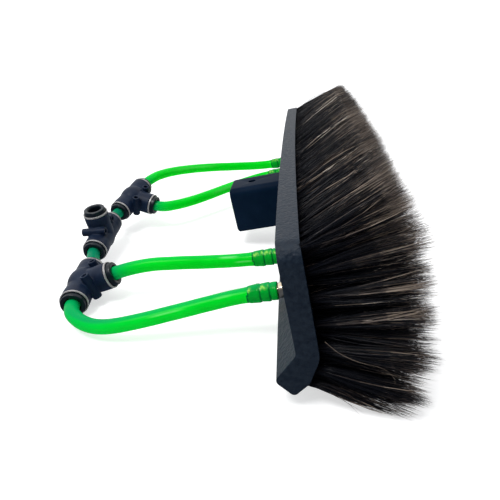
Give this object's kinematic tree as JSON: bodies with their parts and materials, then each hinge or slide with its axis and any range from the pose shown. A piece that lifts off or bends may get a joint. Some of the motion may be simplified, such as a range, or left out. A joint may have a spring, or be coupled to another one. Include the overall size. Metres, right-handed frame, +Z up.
{
  "type": "window cleaning brush head",
  "caption": "Water-fed window brush head: bristled block with a square pole socket, barbed jets and push-fit tees that share one water inlet among them.",
  "frame": {"origin": "centre of the bounding box at the surface the head stands on", "axes": "+X along the block (right end, nearest the picture camera, is -X), +Y out of the back of the block towards the manifold, +Z up with the head resting on its lower bristles and right tee"},
  "size_m": [0.3582, 0.2042, 0.1031],
  "materials": {
    "block": "fine mould texture, matte",
    "socket": "smooth moulded",
    "bristle": "natural dark hair with tan tips",
    "tube": "translucent green polyurethane",
    "fitting": "satin moulded",
    "collet": "smooth moulded",
    "bezel": "dull thin ring",
    "rubber": "matte",
    "steel": "stainless",
    "nickel": "nickel-plated brass"
  },
  "bodies": {
    "brush_head": {"brush_block": "block", "bristles_upper_rows": "bristle", "bristles_middle_rows": "bristle", "bristles_lower_rows": "bristle", "pole_socket": "socket", "socket_screw_upper": "steel", "socket_screw_lower": "steel", "jet_right_outer": "nickel", "jet_tube_right_outer": "tube", "jet_right_inner": "nickel", "jet_tube_right_inner": "tube", "jet_left_inner": "nickel", "jet_tube_left_inner": "tube", "jet_left_outer": "nickel", "jet_tube_left_outer": "tube", "link_tube_right": "tube", "link_tube_left": "tube", "right_tee_body": "fitting", "right_tee_outer_bezel": "bezel", "right_tee_outer_o_ring": "rubber", "right_tee_outer_grab_ring": "steel", "right_tee_link_bezel": "bezel", "right_tee_link_o_ring": "rubber", "right_tee_link_grab_ring": "steel", "right_tee_branch_bezel": "bezel", "right_tee_branch_o_ring": "rubber", "right_tee_branch_grab_ring": "steel", "left_tee_body": "fitting", "left_tee_link_bezel": "bezel", "left_tee_link_o_ring": "rubber", "left_tee_link_grab_ring": "steel", "left_tee_outer_bezel": "bezel", "left_tee_outer_o_ring": "rubber", "left_tee_outer_grab_ring": "steel", "left_tee_branch_bezel": "bezel", "left_tee_branch_o_ring": "rubber", "left_tee_branch_grab_ring": "steel"},
    "inlet_tee": {"inlet_tee_body": "fitting", "inlet_tee_right_bezel": "bezel", "inlet_tee_right_o_ring": "rubber", "inlet_tee_right_grab_ring": "steel", "inlet_tee_left_bezel": "bezel", "inlet_tee_left_o_ring": "rubber", "inlet_tee_left_grab_ring": "steel", "inlet_tee_inlet_bezel": "bezel", "inlet_tee_inlet_o_ring": "rubber", "inlet_tee_inlet_grab_ring": "steel"},
    "right_tee_outer_collet": {"right_tee_outer_collet": "collet"},
    "right_tee_link_collet": {"right_tee_link_collet": "collet"},
    "right_tee_branch_collet": {"right_tee_branch_collet": "collet"},
    "inlet_tee_right_collet": {"inlet_tee_right_collet": "collet"},
    "inlet_tee_left_collet": {"inlet_tee_left_collet": "collet"},
    "inlet_tee_inlet_collet": {"inlet_tee_inlet_collet": "collet"},
    "left_tee_link_collet": {"left_tee_link_collet": "collet"},
    "left_tee_outer_collet": {"left_tee_outer_collet": "collet"},
    "left_tee_branch_collet": {"left_tee_branch_collet": "collet"}
  },
  "joints": [
    {"name": "inlet_tee_swivel", "type": "hinge", "parent": "brush_head", "child": "inlet_tee", "pos_m": [-0.04329, 0.09128, 0.01571], "axis": [0.9848, 0.0514, 0.1657], "range_deg": [-90, 90]},
    {"name": "right_tee_outer_release", "type": "slide", "parent": "brush_head", "child": "right_tee_outer_collet", "axis": [0.9905, 0.1261, 0.0545], "range_m": [0, 0.0012], "stiffness_N_per_m": 300, "springref_m": -0.001},
    {"name": "right_tee_link_release", "type": "slide", "parent": "brush_head", "child": "right_tee_link_collet", "axis": [-0.9905, -0.1261, -0.0545], "range_m": [0, 0.0012], "stiffness_N_per_m": 300, "springref_m": -0.001},
    {"name": "right_tee_branch_release", "type": "slide", "parent": "brush_head", "child": "right_tee_branch_collet", "axis": [-0.0969, 0.9224, -0.3738], "range_m": [0, 0.0012], "stiffness_N_per_m": 300, "springref_m": -0.001},
    {"name": "inlet_tee_right_release", "type": "slide", "parent": "inlet_tee", "child": "inlet_tee_right_collet", "axis": [0.9848, 0.0514, 0.1657], "range_m": [0, 0.0012], "stiffness_N_per_m": 300, "springref_m": -0.001},
    {"name": "inlet_tee_left_release", "type": "slide", "parent": "inlet_tee", "child": "inlet_tee_left_collet", "axis": [-0.9848, -0.0514, -0.1657], "range_m": [0, 0.0012], "stiffness_N_per_m": 300, "springref_m": -0.001},
    {"name": "inlet_tee_inlet_release", "type": "slide", "parent": "inlet_tee", "child": "inlet_tee_inlet_collet", "axis": [0.1707, -0.1168, -0.9784], "range_m": [0, 0.0012], "stiffness_N_per_m": 300, "springref_m": -0.001},
    {"name": "left_tee_link_release", "type": "slide", "parent": "brush_head", "child": "left_tee_link_collet", "axis": [0.9487, -0.2056, 0.2401], "range_m": [0, 0.0012], "stiffness_N_per_m": 300, "springref_m": -0.001},
    {"name": "left_tee_outer_release", "type": "slide", "parent": "brush_head", "child": "left_tee_outer_collet", "axis": [-0.9487, 0.2056, -0.2401], "range_m": [0, 0.0012], "stiffness_N_per_m": 300, "springref_m": -0.001},
    {"name": "left_tee_branch_release", "type": "slide", "parent": "brush_head", "child": "left_tee_branch_collet", "axis": [0.164, 0.9695, 0.1823], "range_m": [0, 0.0012], "stiffness_N_per_m": 300, "springref_m": -0.001}
  ]
}
